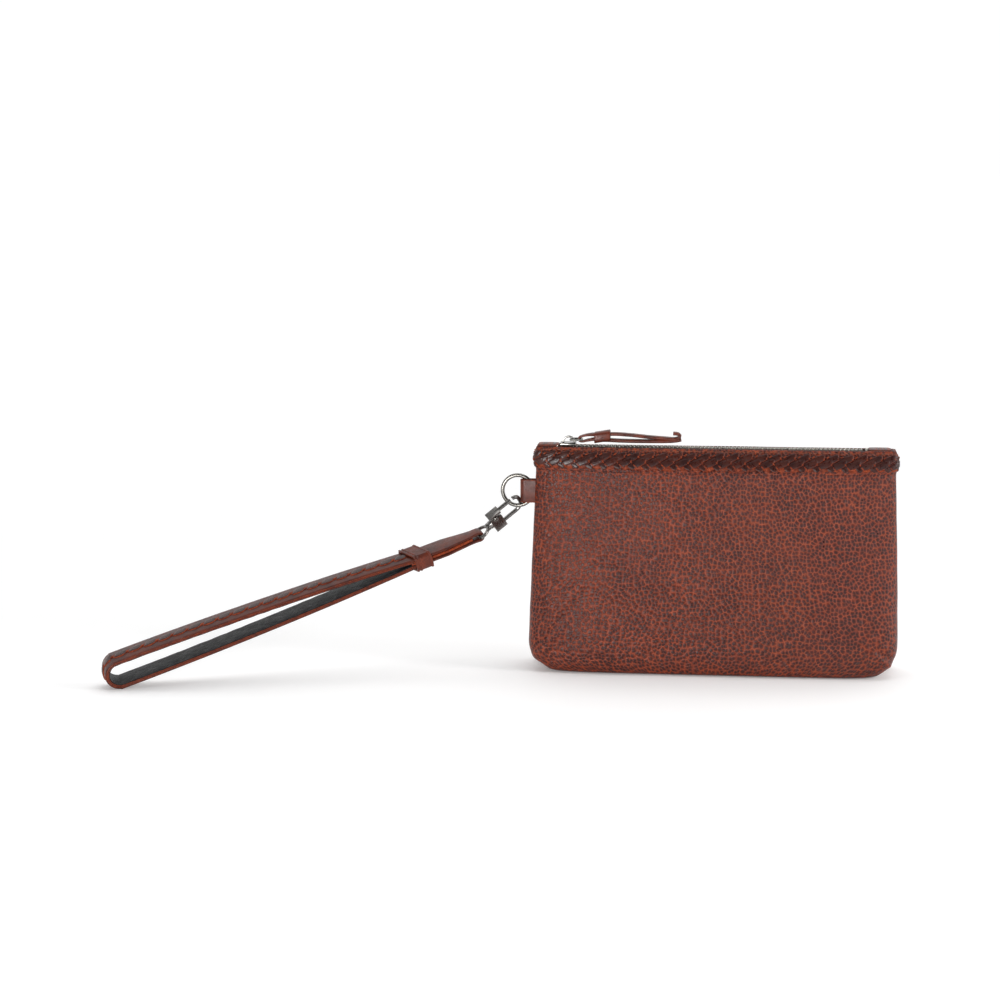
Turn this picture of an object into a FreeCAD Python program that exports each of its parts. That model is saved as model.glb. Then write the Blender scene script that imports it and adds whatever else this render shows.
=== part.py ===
"""Zippered leather pouch with a clip-on wrist strap, as separate solids in millimetres.

The pouch stands on its base: the origin is the middle of the base on the floor, +Z is up, +X runs along the
zip towards its open end and the front faces -Y. The strap hangs from the ring at the -X side, and its far
loop rests on the floor.
"""
import FreeCAD
import Part
import Sketcher
import math
import os

from FreeCAD import Placement, Rotation, Vector

DRIVING = {
    "bodywidth": 209.0,
    "bodyheight": 116.0,
    "basewidth": 188.0,
    "basedepth": 43.0,
    "mouthdepth": 25.0,
    "seampinch": 2.3,
    "leather": 1.6,
    "lining": 0.6,
    "layergap": 0.2,
    "bandheight": 13.6,
    "bandlean": 0.42,
    "tapelength": 174.0,
    "zipheight": 129.2,
    "zipstart": -84.0,
    "ziplength": 168.0,
    "toothpitch": 2.2,
    "toothwidth": 0.9,
    "tapethick": 0.6,
    "endwidth": 10.4,
    "endthick": 1.2,
    "laceheight": 8.0,
    "lacepitch": 8.3,
    "sliderlength": 9.0,
    "sliderwidth": 8.0,
    "linkwire": 1.1,
    "linkwidth": 7.0,
    "pullerlength": 57.0,
    "ringmean": 8.8,
    "ringwire": 2.3,
    "ringheight": 103.0,
    "tabheight": 13.4,
    "hookwire": 2.3,
    "pinwidth": 1.5,
    "pinlength": 5.6,
    "hookspan": 10.6,
    "hookyaw": 18.3,
    "hookslope": 37.6,
    "hookroll": 35.6,
    "eyereach": 32.5,
    "strapwidth": 15.0,
    "strapthick": 3.1,
    "straplength": 227.0,
    "strapyaw": 19.1,
    "straproll": 10.0,
    "strapopening": 18.0,
    "keeperstart": 33.5,
    "keeperlength": 10.0,
    "keeperheight": 9.4,
    "keeperopening": 6.9,
}
NOSE = Vector(-111.2, 0.9, 98.0)
RING_X = -113.0
RING_PIVOT = -105.7
RING_SWING = 27
SWIVEL_LOW = -1.0
STRAP_SKIN = 0.4

doc = FreeCAD.newDocument("pouch")
sheet = doc.addObject("Spreadsheet::Sheet", "dims")
for row, (alias, value) in enumerate(DRIVING.items(), start=1):
    sheet.set(f"A{row}", alias)
    sheet.set(f"B{row}", str(value))
    sheet.setAlias(f"B{row}", alias)
doc.recompute()

parts = []


def dim(alias):
    """Value of one cell of the sheet."""
    return float(getattr(sheet, alias))


def keep(obj, label):
    """Marks an object as one finished piece of the pouch."""
    obj.Label = label
    parts.append(obj)
    return obj


def primitive(kind, name, place=None, **sizes):
    """A Part primitive whose sizes are expressions or plain numbers."""
    obj = doc.addObject("Part::" + kind, name)
    for prop, size in sizes.items():
        if isinstance(size, str):
            obj.setExpression(prop, size)
        else:
            setattr(obj, prop, size)
    if place is not None:
        obj.Placement = place
    return obj


def boolean(kind, name, first, *others):
    """Fuse, cut or common of document objects."""
    if kind == "Cut":
        tool = others[0] if len(others) == 1 else boolean("MultiFuse", name + "_tools", *others)
        obj = doc.addObject("Part::Cut", name)
        obj.Base = first
        obj.Tool = tool
    elif kind == "MultiFuse":
        obj = doc.addObject("Part::MultiFuse", name)
        obj.Shapes = [first, *others]
    else:
        obj = doc.addObject("Part::MultiCommon", name)
        obj.Shapes = [first, *others]
    return obj


def feature(name, shape, place=None):
    """A Part::Feature for a soft or repeated shape that no primitive fits."""
    obj = doc.addObject("Part::Feature", name)
    obj.Shape = shape
    if place is not None:
        obj.Placement = place
    return obj


def origin_plane(body, role):
    """One of the body's own base planes."""
    return next(f for f in body.Origin.OriginFeatures if f.Role == role)


def new_sketch(body, name, role):
    """A sketch on one of the body's own base planes."""
    sketch = body.newObject("Sketcher::SketchObject", name)
    sketch.AttachmentSupport = [(origin_plane(body, role), "")]
    sketch.MapMode = "FlatFace"
    return sketch


def add_rectangle(sketch, across, up):
    """A rectangle centred on the sketch's origin, its sides bound to two expressions."""
    corners = [Vector(-1, -1, 0), Vector(1, -1, 0), Vector(1, 1, 0), Vector(-1, 1, 0)]
    first = sketch.GeometryCount
    for i in range(4):
        sketch.addGeometry(Part.LineSegment(corners[i], corners[(i + 1) % 4]), False)
    for i in range(4):
        sketch.addConstraint(Sketcher.Constraint("Coincident", first + i, 2, first + (i + 1) % 4, 1))
    for side, direction in ((0, "Horizontal"), (1, "Vertical"), (2, "Horizontal"), (3, "Vertical")):
        sketch.addConstraint(Sketcher.Constraint(direction, first + side))
    sketch.addConstraint(Sketcher.Constraint("Symmetric", first, 1, first + 1, 2, -1, 1))
    for side, axis, size in ((0, "DistanceX", across), (1, "DistanceY", up)):
        index = sketch.addConstraint(Sketcher.Constraint(axis, first + side, 1, first + side, 2, 2.0))
        sketch.setExpression(f"Constraints[{index}]", size)


def add_circle(sketch, diameter):
    """A circle on the sketch's origin, its diameter bound to an expression."""
    index = sketch.addGeometry(Part.Circle(Vector(0, 0, 0), Vector(0, 0, 1), 1.0), False)
    sketch.addConstraint(Sketcher.Constraint("Coincident", index, 3, -1, 1))
    size = sketch.addConstraint(Sketcher.Constraint("Diameter", index, 2.0))
    sketch.setExpression(f"Constraints[{size}]", diameter)


def padded_body(name, role, outlines, length, place=None):
    """A PartDesign body: nested outlines drawn on one plane and padded to both sides of it."""
    body = doc.addObject("PartDesign::Body", name)
    sketch = new_sketch(body, name + "_sketch", role)
    for outline in outlines:
        if len(outline) == 1:
            add_circle(sketch, *outline)
        else:
            add_rectangle(sketch, *outline)
    pad = body.newObject("PartDesign::Pad", name + "_pad")
    pad.Profile = sketch
    pad.SideType = "Symmetric"
    pad.setExpression("Length", length)
    if place is not None:
        body.Placement = place
    return body


def prism(points, direction):
    """Solid swept from a closed polygon."""
    return Part.Face(Part.makePolygon([*points, points[0]])).extrude(direction)


# ---------------------------------------------------------------- pouch shell


def station(level):
    """Half width, half depth and squareness of the shell's plan at a height from 0 to 1."""
    half_width = dim("bodywidth") / 2
    corner = max(0.0, 1 - level / 0.16)
    half_width -= (dim("bodywidth") - dim("basewidth")) / 2 * corner**2.2 + 1.6 * level**2
    if level > 1:
        above = (level - 1) * dim("bodyheight")
        return half_width - 0.06 * above, dim("mouthdepth") / 2 - dim("bandlean") * above, 2.5 + 0.38 * above
    belly = dim("basedepth") / 2 + 1.5 * math.sin(math.pi * min(1.0, level / 0.45))
    taper = max(0.0, (level - 0.12) / 0.88)
    half_depth = belly + (dim("mouthdepth") / 2 - dim("basedepth") / 2) * taper
    squareness = 2.5 + 4.0 * (1 - level) ** 2.2
    return half_width, half_depth, squareness


def shell_point(angle, height, inset):
    """Point of the shell's plan at an angle, at a height, moved inwards by inset."""
    level = max(0.0, height / dim("bodyheight"))
    half_width, half_depth, power = station(level)
    side, front = math.cos(angle), math.sin(angle)
    x = math.copysign(abs(side) ** (2 / power), side)
    y = math.copysign(abs(front) ** (2 / power), front) * (half_depth - inset)
    pinch = dim("seampinch") * math.exp(-((y / 4) ** 2)) * abs(x) ** 8
    return Vector(math.copysign(1, x) * (abs(x) * (half_width - inset) - pinch), y, height)


def half_curve(height, inset, side, seam_gap=0.15):
    """Open plan curve of the front (side -1) or back (side +1) half, from the left seam to the right."""
    count = 28
    points = []
    for i in range(count + 1):
        point = shell_point(math.pi * (1 - i / count), height, inset)
        points.append(Vector(point.x, side * max(point.y, seam_gap), height))
    curve = Part.BSplineCurve()
    curve.interpolate(points)
    return curve


def layer_loft(outer, inner, heights, side):
    """Front (side -1) or back (side +1) half of one layer of the shell, lofted through heights."""
    sections = []
    for height in heights:
        outside = half_curve(height, outer, side)
        inside = half_curve(height, inner, side)
        ends = [
            Part.LineSegment(outside.EndPoint, inside.EndPoint),
            inside,
            Part.LineSegment(inside.StartPoint, outside.StartPoint),
        ]
        sections.append(Part.Wire([outside.toShape(), *[edge.toShape() for edge in ends]]))
    return Part.makeLoft(sections, True, False)


def half_shell(name, outer, inner, low, high, side):
    """One half of a panel or lining, with a slit for the ring tab."""
    levels = (0.0, 0.03, 0.08, 0.16, 0.28, 0.45, 0.62, 0.80, 1.0)
    solid = layer_loft(outer, inner, [low + (high - low) * level for level in levels], side)
    slit = Part.makeBox(8, 6.4, dim("tabheight") + 0.4)
    slit.translate(Vector(-106, -3.2, dim("ringheight") - dim("tabheight") / 2 - 0.2))
    return feature(name, solid.cut(slit))


def plate(name, inset, low, thick):
    """Flat plate that fills the shell's plan at the base."""
    outline = [shell_point(math.pi * (i + 0.5) / 36, 0, inset) for i in range(72)]
    return feature(name, prism(outline, Vector(0, 0, thick)), Placement(Vector(0, 0, low), Rotation()))


def build_shell():
    """Leather panels, lining, base and stiffener."""
    leather = dim("leather")
    lining_out = leather + dim("layergap")
    lining_in = lining_out + dim("lining")
    top = dim("bodyheight")
    keep(half_shell("front_panel", 0, leather, 0, top, -1), "front_panel")
    keep(half_shell("back_panel", 0, leather, 0, top, 1), "back_panel")
    keep(half_shell("front_lining", lining_out, lining_in, 3.8, top - 1, -1), "front_lining")
    keep(half_shell("back_lining", lining_out, lining_in, 3.8, top - 1, 1), "back_lining")
    keep(plate("base_panel", leather + 1.8, 0, 2.0), "base_panel")
    keep(plate("base_stiffener", leather + 4, 2.0, 1.6), "base_stiffener")
    keep(plate("base_lining", lining_in + 2.2, 3.7, dim("lining")), "base_lining")


# ---------------------------------------------------------------- mouth and zip


def surface_place(angle, height, side, lift):
    """Placement on the shell's outer surface: +X along the mouth, +Z up the surface, +Y into the pouch."""
    at = shell_point(angle, height, -lift)
    along = shell_point(angle - 0.01, height, -lift) - shell_point(angle + 0.01, height, -lift)
    up = shell_point(angle, height + 1, -lift) - at
    for vector in (at, along, up):
        vector.y *= side
    return Placement(at, Rotation(along, Vector(), up, "XZY"))


def lace_row(side):
    """Lace floats over the joint of panel and band: slanted slabs in two staggered rows along the mouth."""
    floats = []
    pitch = dim("lacepitch")
    rise = dim("laceheight") / 2
    outline = [(-0.52, 0.0), (0.1, 0.0), (0.46, rise - 0.5), (-0.16, rise - 0.5)]
    slab = prism([Vector(x * pitch, 0, z) for x, z in outline], Vector(0, 0.7, 0))
    half = dim("bodywidth") / 2
    steps = [(math.pi * i / 600, shell_point(math.pi * i / 600, dim("bodyheight"), 0)) for i in range(601)]
    for row in range(2):
        wanted = pitch * (0.9 + 0.5 * row)
        walked = 0.0
        for (_, last), (angle, point) in zip(steps, steps[1:]):
            walked += (point - last).Length
            if walked < wanted or abs(point.x) > half - 4.6:
                continue
            wanted += pitch
            copy = slab.copy()
            height = dim("bodyheight") + row * rise
            copy.Placement = surface_place(angle, height, side, 1.2)
            floats.append(copy)
    return Part.makeCompound(floats)


def build_rim(name, side):
    """One half of the mouth: band, lacing, tape and teeth. Side is -1 at the front and +1 at the back."""
    low = dim("bodyheight") + 0.3
    heights = [low, low + dim("bandheight") / 2, low + dim("bandheight")]
    keep(feature(name + "_band", layer_loft(0, dim("leather"), heights, side)), name + "_band")
    keep(feature(name + "_lacing", lace_row(side)), name + "_lacing")
    thick = dim("tapethick")
    level = dim("zipheight") - thick / 2
    inner, outer = 2.75, 4.5
    profile = [
        (inner, thick), (outer, thick), (outer + 2.5, -6.0), (outer + 1.9, -6.2),
        (outer - 0.3, 0), (inner, 0),
    ]
    points = [Vector(-dim("tapelength") / 2, side * y, level + z) for y, z in profile]
    tape = feature(name + "_tape", prism(points, Vector(dim("tapelength"), 0, 0)))
    keep(tape, name + "_tape")
    pitch = dim("toothpitch")
    shift = 0 if side < 0 else pitch / 2
    tooth = Part.makeBox(dim("toothwidth"), 3.4, 2.2)
    tooth.translate(Vector(-dim("toothwidth") / 2, -2.7 if side < 0 else -0.7, dim("zipheight") - 1.1))
    teeth = []
    for i in range(int(dim("ziplength") / pitch)):
        copy = tooth.copy()
        copy.translate(Vector(dim("zipstart") + 0.6 + shift + i * pitch, 0, 0))
        teeth.append(copy)
    keep(feature(name + "_teeth", Part.makeCompound(teeth)), name + "_teeth")


def build_zip_ends():
    """Leather folds over the zip's ends and the metal stops."""
    width = dim("endwidth")
    for label, low, high in (("zip_end_left", -101.0, -89.2), ("zip_end_right", 86.6, 99.0)):
        tab = primitive("Box", label, None, Length=high - low, Width="dims.endwidth", Height="dims.endthick")
        tab.Placement = Placement(Vector(low, -width / 2, dim("zipheight") + 1.0), Rotation())
        keep(tab, label)
    stop = primitive("Box", "zip_far_stop", None, Length=1.6, Width=4.6, Height=2.6)
    stop.Placement = Placement(Vector(84.7, -2.3, dim("zipheight") - 1.3), Rotation())
    keep(stop, "zip_far_stop")
    stops = []
    for side in (-1, 1):
        clip = primitive("Box", f"near_clip_{side + 1}", None, Length=1.6, Width=1.8, Height=2.1)
        clip.Placement = Placement(Vector(-90.6, side * 2.0 - 0.9, dim("zipheight") - 1.2), Rotation())
        stops.append(clip)
    keep(boolean("MultiFuse", "zip_near_stops", *stops), "zip_near_stops")


def build_slider():
    """Slider: two plates joined by the divider, side flanges that guide the teeth, and the bridge on top."""
    x, z = dim("zipstart"), dim("zipheight")
    half = dim("sliderlength") / 2
    width = dim("sliderwidth")
    pieces = []
    for name, low in (("slider_bottom", -2.35), ("slider_top", 1.45)):
        sizes = {"Length": "dims.sliderlength", "Width": "dims.sliderwidth", "Height": 0.9}
        plate_box = primitive("Box", name, None, **sizes)
        plate_box.Placement = Placement(Vector(x - half, -width / 2, z + low), Rotation())
        pieces.append(plate_box)
    for side in (-1, 1):
        for name, low, high in (("lower", -1.5, -0.55), ("upper", 0.55, 1.5)):
            lip = primitive("Box", f"lip_{name}_{side + 1}", None, Length="dims.sliderlength", Width=0.8)
            lip.Height = high - low
            lip.Placement = Placement(Vector(x - half, side * (width / 2 - 0.4) - 0.4, z + low), Rotation())
            pieces.append(lip)
    wedge = primitive("Cylinder", "slider_divider", None, Radius=0.9, Height=3.4)
    wedge.Placement = Placement(Vector(x - half + 1.0, 0, z - 1.7), Rotation())
    keep(boolean("MultiFuse", "slider_body", *pieces, wedge), "slider_body")

    outer = primitive("Cylinder", "bridge_outer", None, Radius=3.7, Height=3.0)
    inner = primitive("Cylinder", "bridge_inner", None, Radius=2.8, Height=4.0)
    cut_low = primitive("Box", "bridge_floor", None, Length=12, Width=12, Height=6)
    seat = z + 2.35
    flat = Rotation(Vector(1, 0, 0), 90)
    outer.Placement = Placement(Vector(x + 0.4, 1.5, seat), flat)
    inner.Placement = Placement(Vector(x + 0.4, 2.0, seat), flat)
    cut_low.Placement = Placement(Vector(x - 6, -6, seat - 6), Rotation())
    keep(boolean("Cut", "slider_bridge", outer, inner, cut_low), "slider_bridge")


def wire_link(length, width, bend, wire):
    """Closed link of round wire, a rectangle with bent corners centred on the origin."""
    a, b = length / 2, width / 2
    slant = bend * (1 - math.sqrt(0.5))
    edges = []
    for turn in range(4):
        long, wide = (a, b) if turn % 2 == 0 else (b, a)
        quarter_turn = Rotation(Vector(0, 0, 1), 90 * turn)
        ends = [
            Vector(bend - long, -wide, 0),
            Vector(long - bend, -wide, 0),
            Vector(long - slant, slant - wide, 0),
            Vector(long, bend - wide, 0),
        ]
        start, corner, middle, finish = [quarter_turn.multVec(end) for end in ends]
        edges.append(Part.LineSegment(start, corner))
        edges.append(Part.Arc(corner, middle, finish))
    return bar(edges, wire)


def link_pivot():
    """Axis of the pull link, inside the bridge."""
    return Vector(dim("zipstart") + 1.4, 0, dim("zipheight") + 4.05)


def puller_pivot():
    """Axis of the leather puller, on the link's far bar."""
    return link_pivot() + Vector(6.6, 0, 0)


def build_puller():
    """Pull link, the folded leather thong hung on it and the leather band wrapped round the thong."""
    centre = (link_pivot() + puller_pivot()) * 0.5
    span = (puller_pivot() - link_pivot()).Length
    link = wire_link(span, dim("linkwidth"), 0.9, dim("linkwire"))
    keep(feature("pull_link", link, Placement(centre, Rotation())), "pull_link")
    pivot = puller_pivot()
    long = dim("pullerlength")
    outline = [
        (-2.6, 0.2), (-1.9, 2.0), (0.4, 3.0), (6.5, 3.2), (15.5, 3.4), (30, 3.0), (45, 1.8),
        (long - 4.5, 0.9), (long - 3.2, 2.6), (long - 0.6, 1.0), (long - 1.2, -1.4), (45, -1.5), (30, -1.3), (15.5, -1.0),
        (6.5, -0.7), (2.0, -1.0), (-1.6, -1.5),
    ]
    points = [Vector(x, 0, z + 0.2) for x, z in outline]
    thong = prism(points, Vector(0, 5, 0))
    eye = Part.makeCylinder(1.0, 9, Vector(0, -2, 0), Vector(0, 1, 0))
    lens = [Vector(20, -1, 1.2), Vector(30, -1, 0.6), Vector(42, -1, 0.4), Vector(30, -1, 1.8)]
    slit = prism(lens, Vector(0, 8, 0))
    thong = thong.cut(eye).cut(slit)
    keep(feature("puller_thong", thong, Placement(pivot - Vector(0, 2.5, 0), Rotation())), "puller_thong")
    outline = [(7.2, -1.4), (12.2, -1.5), (16.2, -1.4), (16.2, 5.0), (6.6, 4.6)]
    wrap = prism([Vector(x, 0, z) for x, z in outline], Vector(0, 7.6, 0))
    inside = [(5, -0.72), (18, -0.95), (18, 3.8), (5, 3.55)]
    hollow = prism([Vector(x, 1.25, z) for x, z in inside], Vector(0, 5.1, 0))
    place = Placement(pivot - Vector(0, 3.8, 0), Rotation())
    keep(feature("puller_wrap", wrap.cut(hollow), place), "puller_wrap")


# ---------------------------------------------------------------- ring, hook and strap


def build_ring():
    """Leather tab folded through the ring, and the ring."""
    ring = primitive("Torus", "o_ring", None, Radius1="dims.ringmean", Radius2="dims.ringwire / 2")
    ring.Placement = Placement(Vector(RING_X, 0, dim("ringheight")), Rotation(Vector(1, 0, 0), 90))
    keep(ring, "o_ring")
    left, right = -110.3, -99.6
    half, slot = 3.0, 1.9
    low = dim("ringheight") - dim("tabheight") / 2
    width = 2 * half
    length = right - left - half
    body = primitive("Box", "tab_block", None, Length=length, Width=width, Height="dims.tabheight")
    body.Placement = Placement(Vector(left + half, -half, low), Rotation())
    fold = primitive("Cylinder", "tab_fold", None, Radius=half, Height="dims.tabheight")
    fold.Placement = Placement(Vector(left + half, 0, low), Rotation())
    gap = primitive("Box", "tab_gap", None, Length=5.4, Width=2 * slot, Height=30)
    gap.Placement = Placement(Vector(left + half, -slot, low - 5), Rotation())
    bend = primitive("Cylinder", "tab_bend", None, Radius=slot, Height=30)
    bend.Placement = Placement(Vector(left + half, 0, low - 5), Rotation())
    tab = boolean("Cut", "tab_folded", boolean("MultiFuse", "tab_outer", body, fold), gap, bend)
    for degrees in range(-RING_SWING, RING_SWING + 1, 9):
        sweep = primitive("Torus", f"ring_sweep_{degrees + RING_SWING}", None, Radius1="dims.ringmean")
        sweep.setExpression("Radius2", "dims.ringwire / 2 + 0.2")
        swing = Placement(Vector(), Rotation(Vector(0, 0, 1), degrees), Vector(RING_PIVOT, 0, 0))
        sweep.Placement = swing * ring.Placement
        tab = boolean("Cut", f"tab_worn_{degrees + RING_SWING}", tab, sweep)
    keep(tab, "ring_tab")


def hook_place():
    """Hook frame: +X from the nose to the swivel eye, +Z towards the gate."""
    yaw = 180 + dim("hookyaw")
    return Placement(NOSE, Rotation(yaw, dim("hookslope"), -dim("hookroll")))


def bar(points_and_arcs, wire):
    """Round bar swept along a wire of tangent edges."""
    path = Part.Wire([edge.toShape() for edge in points_and_arcs])
    start = path.OrderedVertexes[0].Point
    tangent = path.OrderedEdges[0].tangentAt(path.OrderedEdges[0].FirstParameter)
    profile = Part.Wire(Part.makeCircle(wire / 2, start, tangent))
    return path.makePipeShell([profile], True, False, 2)


def quarter(centre, radius, start):
    """Quarter circle in the XZ plane, clockwise from the start angle in degrees."""
    points = []
    for turn in (0, 45, 90):
        angle = math.radians(start - turn)
        points.append(centre + Vector(radius * math.cos(angle), 0, radius * math.sin(angle)))
    return Part.Arc(*points)


def build_hook():
    """Snap hook: fixed bar and block, sprung gate on its pin, and the swivel eye."""
    place = hook_place()
    wire = dim("hookwire")
    side = dim("hookspan") / 2
    low_bend, top_bend = 4.8, 3.2
    fixed = bar(
        [
            Part.LineSegment(Vector(17, 0, -side), Vector(6.0, 0, -side)),
            quarter(Vector(6.0, 0, low_bend - side), low_bend, 270),
            Part.LineSegment(Vector(6.0 - low_bend, 0, low_bend - side), Vector(6.0 - low_bend, 0, side - top_bend)),
            quarter(Vector(6.0 - low_bend + top_bend, 0, side - top_bend), top_bend, 180),
        ],
        wire,
    )
    block = Part.makeBox(7.4, 5.2, side + 6.2, Vector(15, -2.6, -side - 2.0))
    step = Part.makeBox(2.3, 6, 4, Vector(15, -3, 2.6))
    slot = Part.makeBox(7.7, 2.8, 12, Vector(13.5, -1.4, 0.9))
    bore = Part.makeCylinder(0.75, 20, Vector(19, -10, 3), Vector(0, 1, 0))
    stem_bore = Part.makeCylinder(1.35, 9, Vector(20.4, 0, SWIVEL_LOW), Vector(1, 0, 0))
    collar = Part.makeCylinder(2.5, 1.6, Vector(22.4, 0, SWIVEL_LOW), Vector(1, 0, 0))
    body = fixed.fuse(block).fuse(collar).cut(slot).cut(step).cut(bore).cut(stem_bore)
    head_room = Part.makeCylinder(1.8, 1.5, Vector(19.9, 0, SWIVEL_LOW), Vector(1, 0, 0))
    body = body.cut(head_room).removeSplitter()
    keep(feature("hook_body", body, place), "hook_body")

    arm = Part.makeCylinder(wire / 2, 11.6, Vector(5.7, 0, side), Vector(1, 0, 0))
    root = Part.makeBox(4.7, 2.4, 2.6, Vector(16.2, -1.2, 2.9))
    lever = Part.makeBox(8.2, 5.0, 1.7, Vector(14.4, -2.5, 4.7))
    boss = Part.makeCylinder(1.9, 2.4, Vector(19, -1.2, 3), Vector(0, 1, 0))
    pin_hole = Part.makeCylinder(0.85, 6, Vector(19, -3, 3), Vector(0, 1, 0))
    gate = arm.fuse(root).fuse(lever).fuse(boss).cut(pin_hole).removeSplitter()
    keep(feature("hook_gate", gate, place), "hook_gate")

    pin = padded_body("gate_pin", "XZ_Plane", [("dims.pinwidth",)], "dims.pinlength", place)
    pin.Placement = place * Placement(Vector(19, 0, 3), Rotation())
    keep(pin, "gate_pin")
    seat = Vector(16.3, 0, 1.0)
    coil = Part.makeCylinder(0.7, 1.1, seat).cut(Part.makeCylinder(0.4, 1.1, seat))
    keep(feature("gate_spring", coil, place), "gate_spring")

    reach = dim("eyereach")
    stem = Part.makeCylinder(1.3, 6.0, Vector(20.5, 0, 0), Vector(1, 0, 0))
    head = Part.makeCylinder(1.7, 0.5, Vector(20.0, 0, 0), Vector(1, 0, 0))
    washer = Part.makeCylinder(2.3, 1.6, Vector(24.2, 0, 0), Vector(1, 0, 0))
    eye = stem.fuse(head).fuse(washer).fuse(eye_loop(reach)).removeSplitter()
    across = strap_place().Rotation.multVec(Vector(0, 1, 0))
    turn = Rotation(place.Rotation.multVec(Vector(1, 0, 0)), across, Vector(), "XYZ")
    keep(feature("swivel_eye", eye, Placement(place.multVec(Vector(0, 0, SWIVEL_LOW)), turn)), "swivel_eye")


def eye_loop(reach):
    """D-shaped loop of the swivel eye, its cross bar at reach along +X."""
    half = 5.6
    return bar(
        [
            Part.LineSegment(Vector(reach, -half, 0), Vector(reach - 1.2, -half, 0)),
            Part.Arc(Vector(reach - 1.2, -half, 0), Vector(reach - 6.8, 0, 0), Vector(reach - 1.2, half, 0)),
            Part.LineSegment(Vector(reach - 1.2, half, 0), Vector(reach, half, 0)),
            Part.LineSegment(Vector(reach, half, 0), Vector(reach, -half, 0)),
        ],
        2.0,
    )


def strap_place():
    """Strap frame: origin on the eye's cross bar, +X along to the far loop, +Z out of the upper face.

    The strap slopes down until the far loop's lower edge touches the floor.
    """
    origin = hook_place().multVec(Vector(dim("eyereach"), 0, SWIVEL_LOW))
    roll = math.radians(dim("straproll"))
    loop_radius = dim("strapopening") / 2
    below_centre = (loop_radius - STRAP_SKIN) * math.cos(roll) + dim("strapwidth") / 2 * math.sin(roll)
    slope = math.degrees(math.asin((origin.z - below_centre) / (dim("straplength") - loop_radius)))
    return Placement(origin, Rotation(180 + dim("strapyaw"), slope, -dim("straproll")))


def strap_loop(inset):
    """Solid inside the strap's teardrop outline, moved inwards by inset."""
    half = dim("strapopening") / 2
    length = dim("straplength")
    start = dim("keeperstart") + dim("keeperlength") / 2 + 0.2
    heights = [(start, 3.35), (60, 4.6), (100, 6.6), (150, 8.2), (length - half, half)]
    upper = [Vector(x, 0, z - inset) for x, z in heights]
    lower = [Vector(v.x, 0, -v.z) for v in reversed(upper)]
    top = Part.BSplineCurve()
    top.interpolate(upper)
    bottom = Part.BSplineCurve()
    bottom.interpolate(lower)
    end = Part.Arc(upper[-1], Vector(length - inset, 0, 0), lower[0])
    close = Part.LineSegment(lower[-1], upper[0])
    wire = Part.Wire([top.toShape(), end.toShape(), bottom.toShape(), close.toShape()])
    width = dim("strapwidth")
    solid = Part.Face(wire).extrude(Vector(0, width, 0))
    solid.translate(Vector(0, -width / 2, 0))
    return solid


def build_strap():
    """Laced band, its lining, the keeper and the end piece folded round the eye."""
    place = strap_place()
    core = 1.9
    leather = strap_loop(STRAP_SKIN).cut(strap_loop(core))
    lining = strap_loop(core).cut(strap_loop(dim("strapthick")))
    keep(feature("strap_leather", leather, place), "strap_leather")
    keep(feature("strap_lining", lining, place), "strap_lining")
    floats = []
    raised = strap_loop(0).cut(strap_loop(STRAP_SKIN))
    count = 18
    for i in range(count):
        x = 50 + i * 8.8
        corners = ((x, -2.6), (x + 4.6, -2.6), (x + 8.2, 2.6), (x + 3.6, 2.6))
        window = [Vector(along, across, -20) for along, across in corners]
        floats.extend(raised.common(prism(window, Vector(0, 0, 40))).Solids)
    keep(feature("strap_lacing", Part.makeCompound(floats), place), "strap_lacing")

    keeper_x = dim("keeperstart") + dim("keeperlength") / 2
    keeper = padded_body(
        "strap_keeper",
        "YZ_Plane",
        [("dims.strapwidth + 2.6", "dims.keeperheight"), ("dims.strapwidth + 0.3", "dims.keeperopening")],
        "dims.keeperlength",
        place,
    )
    keeper.Placement = place * Placement(Vector(keeper_x, 0, 0), Rotation())
    keep(keeper, "strap_keeper")

    fold = Part.makeCylinder(3.0, 20, Vector(0, -10, 0), Vector(0, 1, 0))
    end = keeper_x - 0.2
    side_view = [(0, -3.0), (end, -3.2), (end, 3.2), (0, 3.0)]
    tongue = prism([Vector(x, -10, z) for x, z in side_view], Vector(0, 20, 0))
    half = dim("strapwidth") / 2
    plan = [(-5, -4.0), (3, -4.0), (20, -half), (end, -half), (end, half), (20, half), (3, 4.0), (-5, 4.0)]
    taper = prism([Vector(x, y, -10) for x, y in plan], Vector(0, 0, 20))
    hole = Part.makeCylinder(1.3, 30, Vector(0, -15, 0), Vector(0, 1, 0))
    piece = fold.fuse(tongue).common(taper).cut(hole).removeSplitter()
    keep(feature("strap_end", piece, place), "strap_end")


build_shell()
build_rim("front", -1)
build_rim("back", 1)
build_zip_ends()
build_slider()
build_puller()
build_ring()
build_hook()
build_strap()
doc.recompute()

os.makedirs("parts", exist_ok=True)
for obj in doc.Objects:
    if "Invalid" in obj.State or "Error" in obj.State:
        raise RuntimeError(f"{obj.Name} did not build: {obj.State}")
for obj in parts:
    if obj.Shape.isNull() or not obj.Shape.isValid() or not obj.Shape.Solids:
        raise RuntimeError(f"{obj.Label} has no valid solid")
    obj.Shape.exportStep(f"parts/{obj.Label}.step")
    box = obj.Shape.BoundBox
    print(f"{obj.Label:16s} solids {len(obj.Shape.Solids):3d} volume {obj.Shape.Volume:10.1f}"
          f" x {box.XMin:.1f} {box.XMax:.1f} y {box.YMin:.1f} {box.YMax:.1f} z {box.ZMin:.2f} {box.ZMax:.1f}")
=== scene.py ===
"""Looks of the zippered pouch: leather shell, laced edges, zip, ring, snap hook and wrist strap.

Lengths are in millimetres until a mesh is made, and in the frame's axes: +X along the zip, -Y to the front.
"""
import math

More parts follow.
